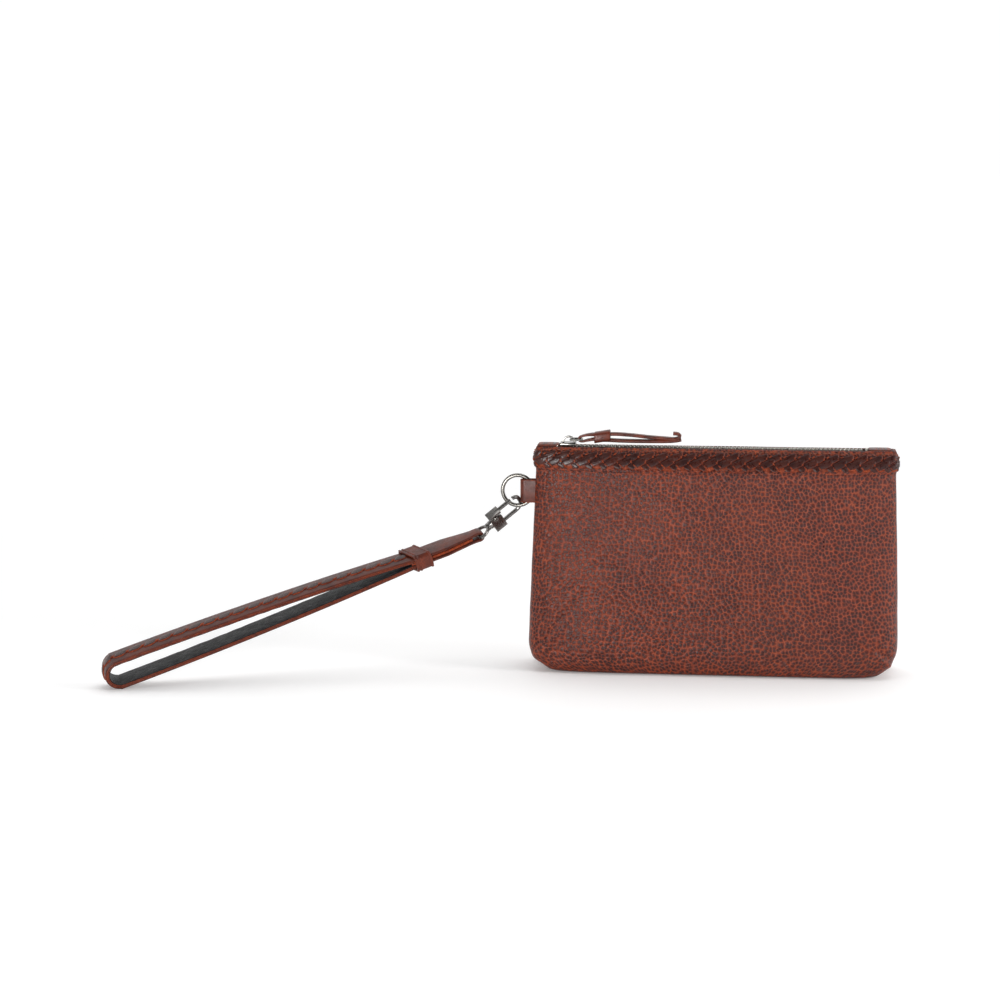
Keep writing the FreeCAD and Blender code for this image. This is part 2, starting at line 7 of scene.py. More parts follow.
import bpy
import numpy as np
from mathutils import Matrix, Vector


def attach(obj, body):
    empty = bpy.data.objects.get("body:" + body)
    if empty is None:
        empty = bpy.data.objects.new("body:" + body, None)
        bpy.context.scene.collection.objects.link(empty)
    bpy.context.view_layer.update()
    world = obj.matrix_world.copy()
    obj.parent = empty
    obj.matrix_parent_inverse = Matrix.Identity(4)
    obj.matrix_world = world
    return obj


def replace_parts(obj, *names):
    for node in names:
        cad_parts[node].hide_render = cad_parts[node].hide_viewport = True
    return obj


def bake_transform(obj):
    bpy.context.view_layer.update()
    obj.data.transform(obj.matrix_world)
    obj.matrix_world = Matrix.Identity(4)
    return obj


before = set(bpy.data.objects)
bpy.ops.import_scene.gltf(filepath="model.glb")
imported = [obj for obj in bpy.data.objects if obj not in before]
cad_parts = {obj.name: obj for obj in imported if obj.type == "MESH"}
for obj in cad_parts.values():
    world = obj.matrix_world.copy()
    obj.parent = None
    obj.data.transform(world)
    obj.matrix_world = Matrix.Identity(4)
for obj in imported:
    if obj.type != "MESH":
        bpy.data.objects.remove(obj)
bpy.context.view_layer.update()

MM = 0.001
BODY_WIDTH, BODY_HEIGHT, BASE_WIDTH = 209.0, 116.0, 188.0
BASE_DEPTH, MOUTH_DEPTH, SEAM_PINCH = 43.0, 25.0, 2.3
BAND_LEAN, BAND_TOP = 0.42, 129.9
LEATHER = 1.6
ZIP_HEIGHT = 129.2
ARC = 470.0
LACED_ARC = 226.0
PLAN_STEPS = 1600
UV_SCALE = 0.01


# ---------------------------------------------------------------- node helpers


class Shader:
    """Builds one Principled material with short calls."""

    def __init__(self, name, **sockets):
        self.material = bpy.data.materials.new(name)
        self.material.use_nodes = True
        self.tree = self.material.node_tree
        self.bsdf = self.tree.nodes["Principled BSDF"]
        for socket, value in sockets.items():
            self.bsdf.inputs[socket.replace("_", " ")].default_value = value

    def node(self, kind, settings=None, **inputs):
        made = self.tree.nodes.new("ShaderNode" + kind)
        for prop, value in (settings or {}).items():
            setattr(made, prop, value)
        for name, value in inputs.items():
            key = int(name[1:]) if name[0] == "_" and name[1:].isdigit() else name.replace("_", " ")
            if isinstance(value, bpy.types.NodeSocket):
                self.tree.links.new(value, made.inputs[key])
            else:
                made.inputs[key].default_value = value
        return made

    def coords(self, kind="UV", scale=1.0):
        out = self.node("TexCoord").outputs[kind]
        return self.node("VectorMath", {"operation": "SCALE"}, _0=out, Scale=scale).outputs[0]

    def noise(self, vector, scale, detail=3.0, rough=0.55, dims="3D"):
        settings = {"noise_dimensions": dims}
        made = self.node("TexNoise", settings, Vector=vector, Scale=scale, Detail=detail)
        made.inputs["Roughness"].default_value = rough
        return made.outputs["Fac"]

    def cells(self, vector, scale, feature="F1", dims="2D", random=0.8):
        settings = {"voronoi_dimensions": dims, "feature": feature}
        made = self.node("TexVoronoi", settings, Vector=vector, Scale=scale)
        made.inputs["Randomness"].default_value = random
        return made.outputs["Distance"]

    def waves(self, vector, direction, scale, distortion):
        settings = {"bands_direction": direction}
        made = self.node("TexWave", settings, Vector=vector, Scale=scale, Distortion=distortion)
        return made.outputs["Fac"]

    def ramp(self, value, low, high, start=0.0, end=1.0):
        made = self.node("MapRange", {"interpolation_type": "SMOOTHSTEP"}, Value=value)
        for socket, number in (("From Min", low), ("From Max", high), ("To Min", start), ("To Max", end)):
            made.inputs[socket].default_value = number
        return made.outputs["Result"]

    def math(self, operation, a, b=0.0):
        return self.node("Math", {"operation": operation}, _0=a, _1=b).outputs[0]

    def mix(self, factor, a, b):
        made = self.node("Mix", {"data_type": "RGBA"})
        for index, value in ((0, factor), (6, a), (7, b)):
            if isinstance(value, bpy.types.NodeSocket):
                self.tree.links.new(value, made.inputs[index])
            else:
                made.inputs[index].default_value = value if index == 0 else (*value, 1.0)
        return made.outputs[2]

    def warp(self, vector, amount, scale):
        noise = self.node("TexNoise", Vector=vector, Scale=scale, Detail=1.0)
        middle = (0.5, 0.5, 0.5)
        centred = self.node("VectorMath", {"operation": "SUBTRACT"}, _0=noise.outputs["Color"], _1=middle)
        moved = self.node("VectorMath", {"operation": "SCALE"}, _0=centred.outputs[0], Scale=amount)
        return self.node("VectorMath", {"operation": "ADD"}, _0=vector, _1=moved.outputs[0]).outputs[0]

    def finish(self, colour=None, rough=None, height=None, depth=0.0002, strength=1.0):
        for socket, value in (("Base Color", colour), ("Roughness", rough)):
            if value is not None:
                self.tree.links.new(value, self.bsdf.inputs[socket])
        if height is not None:
            bump = self.node("Bump", Height=height, Strength=strength, Distance=depth)
            self.tree.links.new(bump.outputs[0], self.bsdf.inputs["Normal"])
        return self.material


ORANGE = (0.145, 0.019, 0.004)
BROWN = (0.090, 0.011, 0.003)
PIT = (0.014, 0.0026, 0.003)
VEIN = (0.30, 0.052, 0.015)
LACE = (0.048, 0.012, 0.008)
RAW = (0.24, 0.040, 0.010)


def pebbled_leather():
    """Tumbled leather: dark glossy pebbles about 2.4 mm apart, with warm matt grooves and fine creases."""
    s = Shader("pebbled_leather", Specular_IOR_Level=0.30)
    uv = s.warp(s.coords("UV", 100.0), 1.9, 0.2)
    pebble = s.ramp(s.cells(uv, 0.45, random=0.8), 0.14, 0.66, 1.0, 0.0)
    groove = s.ramp(s.cells(uv, 0.45, "DISTANCE_TO_EDGE", random=0.85), 0.0, 0.20, 1.0, 0.0)
    fine = s.cells(s.warp(uv, 0.9, 0.6), 1.15, "DISTANCE_TO_EDGE", random=1.0)
    creases = s.ramp(fine, 0.0, 0.14, 1.0, 0.0)
    cloud = s.noise(uv, 0.028, 4.0)
    spots = s.noise(uv, 0.20, 3.0)
    ground = s.mix(s.ramp(cloud, 0.35, 0.66), ORANGE, BROWN)
    ground = s.mix(s.math("MULTIPLY", groove, s.ramp(spots, 0.36, 0.68, 0.28, 0.85)), ground, VEIN)
    cover = s.ramp(s.noise(uv, 0.09, 3.0), 0.30, 0.66, 0.70, 0.95)
    colour = s.mix(s.math("MULTIPLY", pebble, cover), ground, PIT)
    colour = s.mix(s.math("MULTIPLY", creases, 0.18), colour, BROWN)
    height = s.math("SUBTRACT", s.math("MULTIPLY", pebble, 0.6), s.math("MULTIPLY", groove, 0.45))
    height = s.math("SUBTRACT", height, s.math("MULTIPLY", creases, 0.28))
    height = s.math("ADD", height, s.math("MULTIPLY", s.noise(uv, 2.4, 3.0), 0.25))
    rough = s.math("SUBTRACT", s.ramp(spots, 0.3, 0.7, 0.37, 0.45), s.math("MULTIPLY", pebble, 0.10))
    return s.finish(colour, rough, height, 0.00032, 0.75)


def smooth_leather(name, ground, dark, rough_low, rough_high, grain=0.9):
    """Burnished strap leather: soft mottling, pores and fine wrinkles."""
    s = Shader(name, Specular_IOR_Level=0.28)
    at = s.coords("Object", 1000.0)
    mottle = s.noise(at, 0.16, 4.0)
    pores = s.cells(s.warp(at, 0.5, 0.9), grain, "F1", "3D", 1.0)
    holes = s.ramp(pores, 0.1, 0.4, 1.0, 0.0)
    colour = s.mix(s.ramp(mottle, 0.32, 0.68), ground, dark)
    colour = s.mix(s.math("MULTIPLY", holes, 0.55), colour, PIT)
    height = s.math("MULTIPLY", s.noise(at, 1.3, 4.0), 0.6)
    height = s.math("SUBTRACT", height, s.math("MULTIPLY", holes, 0.5))
    rough = s.ramp(s.noise(at, 0.5, 3.0), 0.3, 0.7, rough_low, rough_high)
    return s.finish(colour, rough, height, 0.00015, 0.7)


def cut_edge():
    """Raw cut edge of the layered strap: bright leather with darker glue and dye lines."""
    s = Shader("cut_edge", Specular_IOR_Level=0.2)
    at = s.coords("Object", 1000.0)
    fibres = s.noise(at, 0.9, 5.0, 0.7)
    blotch = s.noise(at, 0.22, 2.0)
    colour = s.mix(s.ramp(fibres, 0.38, 0.66), RAW, BROWN)
    colour = s.mix(s.ramp(blotch, 0.5, 0.72, 0.0, 0.6), colour, PIT)
    rough = s.ramp(fibres, 0.3, 0.7, 0.48, 0.66)
    return s.finish(colour, rough, fibres, 0.00012, 0.6)


def black_lining():
    """Black coated cloth, slightly crumpled, with a soft shine; its colour carries a painted sheen, lighter
    on the crumple crests.
    """
    s = Shader("black_lining", Specular_IOR_Level=0.2)
    at = s.coords("Object", 1000.0)
    crumple_and_sheen = s.noise(s.warp(at, 3.0, 0.07), 0.16, 3.0)
    weave = s.waves(at, "DIAGONAL", 1.1, 1.5)
    # Painted sheen: the colour is lighter where the crumples rise, standing in for their soft highlights.
    colour = s.mix(s.ramp(crumple_and_sheen, 0.4, 0.7), (0.006, 0.006, 0.007), (0.018, 0.018, 0.019))
    height = s.math("ADD", crumple_and_sheen, s.math("MULTIPLY", weave, 0.06))
    rough = s.ramp(crumple_and_sheen, 0.3, 0.7, 0.34, 0.52)
    return s.finish(colour, rough, height, 0.0022, 0.7)


def metal(name, tint, rough_low, rough_high, pitting, scale=1.4):
    """Plated casting: fine scratches, soft wear and shallow pitting."""
    s = Shader(name, Metallic=1.0)
    at = s.coords("Object", 1000.0)
    stretched = s.node("Mapping", Vector=at, Scale=(0.5, 4.0, 0.7)).outputs[0]
    scratches = s.noise(stretched, 1.2, 5.0, 0.7)
    blotch = s.noise(at, 0.45, 3.0)
    dull = tuple(c * 0.55 for c in tint)
    colour = s.mix(s.ramp(blotch, 0.42, 0.74, 0.0, 0.75), tint, dull)
    height = s.math("MULTIPLY", s.noise(at, scale, 4.0), pitting)
    height = s.math("ADD", height, s.math("MULTIPLY", scratches, 0.25))
    rough = s.ramp(scratches, 0.3, 0.72, rough_low, rough_high)
    return s.finish(colour, rough, height, 0.0001, 0.5)


def tape_weave():
    """Dark herringbone zip tape."""
    s = Shader("tape_weave", Roughness=0.85)
    at = s.coords("Object", 1000.0)
    rows = s.waves(at, "X", 0.65, 0.0)
    ribs = s.waves(at, "DIAGONAL", 0.8, 0.6)
    weave = s.math("MULTIPLY", rows, ribs)
    colour = s.mix(weave, (0.030, 0.014, 0.010), (0.095, 0.045, 0.030))
    return s.finish(colour, None, weave, 0.0002, 0.8)


def board():
    """Grey fibre board of the hidden stiffener."""
    s = Shader("board", Roughness=0.9)
    at = s.coords("Object", 1000.0)
    fibres = s.noise(at, 0.8, 6.0, 0.75)
    return s.finish(s.mix(fibres, (0.28, 0.25, 0.21), (0.42, 0.39, 0.34)), None, fibres, 0.0001, 0.5)


PEBBLED = pebbled_leather()
SMOOTH = smooth_leather("smooth_leather", (0.120, 0.022, 0.009), (0.055, 0.011, 0.006), 0.30, 0.46)
STRAP_FACE = smooth_leather("strap_face", (0.085, 0.017, 0.008), (0.040, 0.009, 0.006), 0.28, 0.42)
THREAD = smooth_leather("thread", (0.20, 0.06, 0.03), (0.13, 0.035, 0.018), 0.5, 0.7, 2.5)
LACE_FACE = smooth_leather("lace_face", LACE, (0.022, 0.006, 0.005), 0.24, 0.38, 0.6)
CUT = cut_edge()
BLACK = black_lining()
# Both tints are partly the metals' own colour and partly painted shade: they are set darker so the metals
# read as reflecting dark surroundings.
NICKEL = metal("polished_nickel", (0.20, 0.19, 0.175), 0.14, 0.30, 0.35, 0.6)
GUNMETAL = metal("dark_nickel", (0.25, 0.238, 0.228), 0.20, 0.36, 0.8, 1.6)
STEEL = metal("spring_steel", (0.60, 0.60, 0.60), 0.2, 0.4, 0.2)
TEETH = metal("teeth_metal", (0.52, 0.50, 0.45), 0.20, 0.38, 0.5)
TAPE = tape_weave()
BOARD = board()


# ---------------------------------------------------------------- mesh helpers


def make_mesh(name, verts, faces, materials, uvs=None, slots=None, smooth=True):
    """A mesh object from millimetre vertices; uvs is one pair per vertex, slots one number per face."""
    mesh = bpy.data.meshes.new(name)
    mesh.from_pydata((np.asarray(verts) * MM).tolist(), [], [list(map(int, f)) for f in faces])
    for material in materials:
        mesh.materials.append(material)
    if slots is not None:
        mesh.polygons.foreach_set("material_index", np.asarray(slots, np.int32))
    mesh.polygons.foreach_set("use_smooth", [smooth] * len(mesh.polygons))
    if uvs is not None:
        layer = mesh.uv_layers.new(name="UVMap")
        corner = np.zeros(len(mesh.loops), np.int32)
        mesh.loops.foreach_get("vertex_index", corner)
        layer.data.foreach_set("uv", (np.asarray(uvs) * UV_SCALE)[corner].ravel())
    mesh.validate()
    mesh.update()
    made = bpy.data.objects.new(name, mesh)
    bpy.context.scene.collection.objects.link(made)
    return made


class Pile:
    """Collects many small closed pieces into one mesh."""

    def __init__(self):
        self.verts, self.faces, self.slots, self.uvs, self.count = [], [], [], [], 0

    def add(self, verts, faces, slots, uvs=None):
        self.verts.append(np.asarray(verts, float))
        self.faces.extend([[i + self.count for i in face] for face in faces])
        self.slots.extend(slots)
        self.uvs.append(np.asarray(uvs, float) if uvs is not None else np.asarray(verts, float)[:, [0, 2]])
        self.count += len(verts)

    def make(self, name, materials):
        verts, uvs = np.concatenate(self.verts), np.concatenate(self.uvs)
        return make_mesh(name, verts, self.faces, materials, uvs, self.slots)


def grid_faces(rows, cols, wrap=False, start=0):
    """Quads of a rows x cols grid of vertices, closed round the columns if wrap."""
    faces = []
    for r in range(rows - 1):
        for c in range(cols if wrap else cols - 1):
            d = (c + 1) % cols
            here, beyond = start + r * cols, start + (r + 1) * cols
            faces.append([here + c, here + d, beyond + d, beyond + c])
    return faces


def slab_from_grids(outer, inner, uv):
    """Closed solid between two grids of the same size: verts, faces, per-vertex uvs."""
    rows, cols = outer.shape[:2]
    size = rows * cols
    verts = np.concatenate([outer.reshape(-1, 3), inner.reshape(-1, 3)])
    faces = grid_faces(rows, cols)
    faces += [[i + size for i in reversed(face)] for face in grid_faces(rows, cols)]
    rim = list(range(cols)) + [r * cols + cols - 1 for r in range(1, rows)]
    rim += [(rows - 1) * cols + c for c in range(cols - 2, -1, -1)]
    rim += [r * cols for r in range(rows - 2, 0, -1)]
    for a, b in zip(rim, rim[1:] + rim[:1]):
        faces.append([b, a, a + size, b + size])
    return verts, faces, np.concatenate([uv.reshape(-1, 2)] * 2)


def resample(points, count, closed=False):
    """Smooth curve (Catmull-Rom) through points, resampled evenly."""
    p = np.asarray(points, float)
    if closed:
        p = np.vstack([p[-1], p, p[0], p[1]])
    else:
        p = np.vstack([2 * p[0] - p[1], p, 2 * p[-1] - p[-2]])
    fine = []
    for a, b, c, d in zip(p, p[1:], p[2:], p[3:]):
        t = np.linspace(0, 1, 24, endpoint=False)[:, None]
        square, cube = 2 * a - 5 * b + 4 * c - d, 3 * b - a - 3 * c + d
        fine.append(0.5 * (2 * b + (c - a) * t + square * t**2 + cube * t**3))
    fine = np.vstack(fine + [p[-2][None]])
    run = np.concatenate([[0], np.cumsum(np.linalg.norm(np.diff(fine, axis=0), axis=1))])
    want = np.linspace(0, run[-1], count + 1 if closed else count)
    out = np.stack([np.interp(want, run, fine[:, i]) for i in range(fine.shape[1])], axis=1)
    return out[:-1] if closed else out


def arc_points(centre, radius, start, end, count):
    """Points of a circle in a plane, angles in degrees."""
    turns = np.radians(np.linspace(start, end, count))
    return [(centre[0] + radius * math.cos(a), centre[1] + radius * math.sin(a)) for a in turns]


def section(rounding, steps=3):
    """Rounded rectangle from -0.5 to 0.5 each way: (across, through) pairs, rounding in shares of each."""
    rx, ry = rounding
    out = []
    right, left, top, bottom = 0.5 - rx, rx - 0.5, 0.5 - ry, ry - 0.5
    for cx, cy, start in ((right, top, 0), (left, top, 90), (left, bottom, 180), (right, bottom, 270)):
        for i in range(steps + 1):
            a = math.radians(start + 90 * i / steps)
            out.append((cx + rx * math.cos(a), cy + ry * math.sin(a)))
    return out


def ribbon(name, path, across, width, thick, materials, closed=False, rounding=0.35):
    """Strip of leather along a path, across being its width; cut edges take the second material."""
    path = np.asarray(path, float)
    count = len(path)
    across = np.broadcast_to(np.asarray(across, float), path.shape)
    width = np.broadcast_to(np.asarray(width, float), count)
    thick = np.broadcast_to(np.asarray(thick, float), count)
    if closed:
        tangent = np.roll(path, -1, 0) - np.roll(path, 1, 0)
    else:
        tangent = np.gradient(path, axis=0)
    tangent /= np.linalg.norm(tangent, axis=1)[:, None]
    through = np.cross(tangent, across)
    through /= np.linalg.norm(through, axis=1)[:, None]
    corners = section((rounding * thick.mean() / width.mean(), rounding))
    run = np.concatenate([[0], np.cumsum(np.linalg.norm(np.diff(path, axis=0), axis=1))])
    verts, uvs = [], []
    for i in range(count):
        for a, b in corners:
            verts.append(path[i] + across[i] * a * width[i] + through[i] * b * thick[i])
            uvs.append((run[i], a * width[i] + b))
    size = len(corners)
    faces = grid_faces(count, size, True)
    at_edge = [abs(corners[c][0] + corners[(c + 1) % size][0]) > 0.9 for c in range(size)]
    slots = [1 if at_edge[i % size] else 0 for i in range(len(faces))]
    if closed:
        last = (count - 1) * size
        faces += [[last + c, last + (c + 1) % size, (c + 1) % size, c] for c in range(size)]
        slots += slots[:size]
    else:
        faces += [list(reversed(range(size))), [(count - 1) * size + c for c in range(size)]]
        slots += [1, 1]
    return make_mesh(name, verts, faces, materials, uvs, slots)


# ---------------------------------------------------------------- shell surface


def plan(height):
    """Closed plan of the shell at one height, from the left seam round the front: evenly spaced points."""
    level = height / BODY_HEIGHT
    low = max(0.0, 1 - level / 0.16)
    half_width = BODY_WIDTH / 2 - (BODY_WIDTH - BASE_WIDTH) / 2 * low**2.2 - 1.6 * level**2
    if level > 1:
        above = height - BODY_HEIGHT
        half_width -= 0.06 * above
        half_depth = MOUTH_DEPTH / 2 - BAND_LEAN * above
        power = 2.5 + 0.38 * above
    else:
        half_depth = BASE_DEPTH / 2 + 1.5 * math.sin(math.pi * min(1.0, level / 0.45))
        half_depth += (MOUTH_DEPTH - BASE_DEPTH) / 2 * max(0.0, (level - 0.12) / 0.88)
        power = 2.5 + 4.0 * (1 - level) ** 2.2
    half_width += 1.5
    turn = 1 - min(1.0, height / 11.0)
    curl = 4.6 * (1 - math.sqrt(1 - turn**2))
    half_depth -= curl
    half_width -= 0.5 * curl
    angle = np.linspace(math.pi, 3 * math.pi, 4001)
    side, front = np.cos(angle), np.sin(angle)
    x = np.sign(side) * np.abs(side) ** (2 / power)
    y = np.sign(front) * np.abs(front) ** (2 / power) * half_depth
    pinch = SEAM_PINCH * np.exp(-((y / 4) ** 2)) * np.abs(x) ** 8
    x = np.sign(x) * (np.abs(x) * half_width - pinch)
    run = np.concatenate([[0], np.cumsum(np.hypot(np.diff(x), np.diff(y)))])
    even = np.linspace(0, run[-1], PLAN_STEPS + 1)
    heights = np.full(PLAN_STEPS + 1, height)
    return np.stack([np.interp(even, run, x), np.interp(even, run, y), heights], axis=1)


LEVELS = np.linspace(0.0, BAND_TOP, 132)
TABLE = np.stack([plan(h) for h in LEVELS])


def ridge(x, z, start, end, width, height):
    """Soft fold along a line on the front, fading towards its end."""
    (ax, az), (bx, bz) = start, end
    dx, dz = bx - ax, bz - az
    length = math.hypot(dx, dz)
    along = ((x - ax) * dx + (z - az) * dz) / length**2
    off = ((x - ax) * dz - (z - az) * dx) / length
    fade = np.clip(1 - np.abs(along - 0.35) / 0.75, 0, 1)
    return height * np.exp(-((off / width) ** 2)) * fade * fade * (3 - 2 * fade)


FRONT_FOLDS = [
    ((-103, 6), (-78, 42), 3.0, 1.1), ((-97, 3), (-74, 32), 4.5, -0.8),
    ((103, 5), (84, 22), 1.6, 1.0), ((101, 12), (80, 24), 1.8, -0.7), ((98, 18), (82, 30), 1.5, 0.5),
    ((-70, 60), (-20, 8), 16.0, 0.9), ((40, 20), (75, 95), 14.0, 0.7), ((10, 90), (-60, 30), 12.0, -0.8),
]
BACK_FOLDS = [
    ((-103, 6), (-80, 30), 3.0, 1.3), ((103, 6), (80, 34), 2.8, 1.4), ((-30, 15), (50, 80), 16.0, 0.9),
    ((60, 30), (-40, 100), 13.0, -0.7),
]


def relief(at):
    """How far the leather stands out of its smooth shape: corner folds and slow waves."""
    x, y, z = at[..., 0], at[..., 1], at[..., 2]
    out = np.zeros(x.shape)
    for folds, half in ((FRONT_FOLDS, np.clip(-y / 8, 0, 1)), (BACK_FOLDS, np.clip(y / 8, 0, 1))):
        for start, end, width, height in folds:
            out += half * ridge(x, z, start, end, width, height)
    waves = 0.42 * np.sin(x / 13.0 + 0.6 * np.sin(z / 17.0)) * np.sin(z / 21.0 + 1.3 + x / 55.0)
    waves += 0.16 * np.sin(x / 6.1 + z / 9.0 + 2.0) * np.sin(z / 7.3 - x / 31.0)
    hold = np.clip(z / 14, 0, 1) * np.clip((128 - z) / 16, 0.25, 1) * np.clip(np.abs(y) / 8, 0, 1)
    return out * np.clip((120 - z) / 20, 0, 1) + waves * hold


def surf(f, h, lift=0.0):
    """Point of the outer surface: f runs from 0 at the left seam round the front to 0.5, then back to 1."""
    f, h, lift = np.broadcast_arrays(np.asarray(f, float), np.asarray(h, float), np.asarray(lift, float))

    def look(f, h):
        c = (f % 1.0) * PLAN_STEPS
        r = np.clip(h / BAND_TOP, 0, 1) * (len(LEVELS) - 1)
        c0, r0 = np.minimum(c.astype(int), PLAN_STEPS - 1), np.minimum(r.astype(int), len(LEVELS) - 2)
        u, v = (c - c0)[..., None], (r - r0)[..., None]
        low = TABLE[r0, c0] * (1 - u) + TABLE[r0, c0 + 1] * u
        high = TABLE[r0 + 1, c0] * (1 - u) + TABLE[r0 + 1, c0 + 1] * u
        return low * (1 - v) + high * v

    at = look(f, h)
    along = look(f + 0.003, h) - look(f - 0.003, h)
    up = look(f, np.minimum(h + 1.0, BAND_TOP)) - look(f, np.minimum(h, BAND_TOP - 1.0))
    normal = np.cross(along, up)
    normal /= np.maximum(np.linalg.norm(normal, axis=-1), 1e-9)[..., None]
    beyond = np.maximum(h - BAND_TOP, 0)[..., None] * np.array([0, 0, 1.0])
    return at + beyond + normal * (lift + relief(at))[..., None]


def open_with_mouth(piece):
    """Bakes the piece's transform into its mesh and returns the piece."""
    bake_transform(piece)
    return piece


def shell_piece(name, side, low, high, outer, inner, cols, rows, materials):
    """Half of a shell layer between two depths under the outer surface."""
    start = 0.0 if side == "front" else 0.5
    f = np.linspace(start, start + 0.5, cols)[None, :] + np.zeros((rows, 1))
    h = np.linspace(low, high, rows)[:, None] + np.zeros((1, cols))
    uv = np.stack([f * ARC, h], axis=-1)
    verts, faces, uvs = slab_from_grids(surf(f, h, -outer), surf(f, h, -inner), uv)
    return make_mesh(name, verts, faces, materials, uvs)


# ---------------------------------------------------------------- pouch


def build_shell():
    """Leather panels of the front and back, each with its lining cloth inside."""
    for side in ("front", "back"):
        top = BODY_HEIGHT + 0.4
        panel = shell_piece(side + "_leather", side, 0.2, top, 0, LEATHER, 300, 150, [PEBBLED])
        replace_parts(open_with_mouth(panel), side + "_panel")
        near, far = LEATHER + 0.25, LEATHER + 0.8
        cloth = shell_piece(side + "_cloth", side, 4.0, 122.0, near, far, 120, 60, [BLACK])
        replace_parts(open_with_mouth(cloth), side + "_lining")


def flat_plate(name, inset, low, high, materials):
    """Plate that fills the shell's plan, with a rounded edge."""
    count = 160
    f = np.arange(count) / count
    outline = surf(f, 0.2, -inset)[:, :2]
    rings = [(0.02, low), (0.5, low), (0.985, low), (1.0, low + 0.5), (1.0, high - 0.5), (0.985, high)]
    rings += [(0.5, high), (0.02, high)]
    verts = [(x * scale, y * scale, z) for scale, z in rings for x, y in outline]
    faces = grid_faces(len(rings), count, True)
    faces += [list(range(count)), [(len(rings) - 1) * count + c for c in reversed(range(count))]]
    faces = [list(reversed(face)) for face in faces]
    return make_mesh(name, verts, faces, materials, np.array(verts)[:, :2])


def build_base():
    """Base leather and base lining; the hidden stiffener keeps its own mesh."""
    for name, node, inset, low, high, material, slot in (
        ("base_leather", "base_panel", 0.4, 0.0, 2.2, PEBBLED, "base_leather"),
        ("base_cloth", "base_lining", 1.5, 3.7, 4.3, BLACK, "lining_cloth"),
    ):
        plate = flat_plate(name, inset, low, high, [material])
        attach(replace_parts(plate, node), "pouch")
    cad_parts["base_stiffener"].data.materials.clear()
    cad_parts["base_stiffener"].data.materials.append(BOARD)


def float_shape(length, width, skew=0.0, power=3.2, count=22):
    """Outline of one lace float: a rounded parallelogram."""
    angle = np.linspace(0, 2 * math.pi, count, endpoint=False)
    x = np.sign(np.cos(angle)) * np.abs(np.cos(angle)) ** (2 / power) * length / 2
    y = np.sign(np.sin(angle)) * np.abs(np.sin(angle)) ** (2 / power) * width / 2
    return np.stack([x + skew * y, y], axis=1)


FLOAT_RINGS = (
    (0.30, 1.0, 0), (0.62, 0.97, 0), (0.84, 0.86, 0), (0.94, 0.66, 0), (1.0, 0.34, 1), (1.03, -0.10, 1),
)


def add_float(pile, outline, turn, place, height, base=0.2, tilt=0.0, top=0):
    """One crowned lace float; place(p, q, lift) puts a point of its plane, in millimetres, on a surface."""
    angle = math.radians(turn)
    half = np.abs(outline[:, 0]).max()
    p, q, lift, slots = [], [], [], []
    count = len(outline)
    for scale, up, _ in FLOAT_RINGS:
        x, y = outline[:, 0] * scale, outline[:, 1] * scale
        p.append(x * math.cos(angle) - y * math.sin(angle))
        q.append(x * math.sin(angle) + y * math.cos(angle))
        lift.append(base + height * up + tilt * x / half)
    p, q, lift = (np.concatenate(v) for v in (p, q, lift))
    faces = grid_faces(len(FLOAT_RINGS), count, True)
    for ring in FLOAT_RINGS[1:]:
        slots += [max(ring[2], top)] * count
    faces = [list(reversed(face)) for face in faces]
    faces += [list(range(count)), [(len(FLOAT_RINGS) - 1) * count + c for c in reversed(range(count))]]
    slots += [top, 1]
    pile.add(place(p, q, lift), faces, slots)


LACE_PITCH = 8.3
LACE_ROWS = (
    (119.3, 0.58, -30, 4.6, 2.3, 0.0, 0.75, 0.15),
    (121.4, 0.12, 19, 10.2, 3.7, 0.7, 1.00, 0.38),
    (124.4, 0.62, 19, 10.2, 3.7, 0.7, 1.00, 0.38),
    (126.6, 0.20, -28, 3.6, 1.4, 0.0, 0.60, 0.10),
)
CHEVRONS = (
    (119.7, 0.86, -42, 3.0), (122.2, 0.575, -48, 2.5), (125.2, 0.075, -48, 2.5), (125.9, 0.42, 30, 2.0),
)


def build_lacing():
    """Leather lace over the joint of panel and band: woven floats, with raw edge showing at their ends."""
    rng = np.random.default_rng(4)
    for side, start in (("front", 0.0), ("back", 0.5)):
        pile = Pile()
        repeats = int(round(LACED_ARC / LACE_PITCH))
        rows = [row + (0,) for row in LACE_ROWS]
        for height, shift, turn, long in CHEVRONS:
            rows.append((height, shift, turn, long, 0.75, 0.0, 1.15, 0.0, 1))
        for height, shift, turn, long, wide, skew, thick, tilt, raw in rows:
            for i in range(repeats):
                centre = start + 0.5 * (i + shift) / repeats
                jitter = rng.uniform(-1, 1, 4)
                outline = float_shape(long * (1 + 0.05 * jitter[0]), wide * (1 + 0.06 * jitter[1]), skew)

                def place(p, q, lift, centre=centre, height=height + 0.15 * jitter[2]):
                    return surf(centre + p / (2 * LACED_ARC), height + q, lift)

                add_float(pile, outline, turn + 3 * jitter[3], place, thick, 0.15, tilt, raw)
        lace = pile.make(side + "_lace", [LACE_FACE, CUT])
        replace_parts(open_with_mouth(lace), side + "_lacing")

        cols = 560
        f = np.linspace(start, start + 0.5, cols)
        wave = np.abs(((f - start) * 2 * repeats + 0.35) % 1.0 - 0.5) * 2
        low = 117.6 + 1.5 * wave
        share = np.array([0, 0.06, 0.12, 0.2, 0.5, 0.8, 1.0])[:, None]
        h = low[None, :] + share * (127.0 - low)[None, :]
        bulge = 0.55 * np.sqrt(np.clip(1 - (2 * share - 1) ** 6, 0, 1)) + 0.02
        grid = np.broadcast_to(f, h.shape)
        uv = np.stack([grid * ARC, h], axis=-1)
        verts, faces, uvs = slab_from_grids(surf(grid, h, bulge), surf(grid, h, -0.4), uv)
        slots = [1 if i < 3 * (cols - 1) else 0 for i in range(len(faces))]
        strip = make_mesh(side + "_raw_edge", verts, faces, [LACE_FACE, CUT], uvs, slots)
        open_with_mouth(strip)


STITCH_HEIGHT, STITCH_COUNT = 128.1, 86


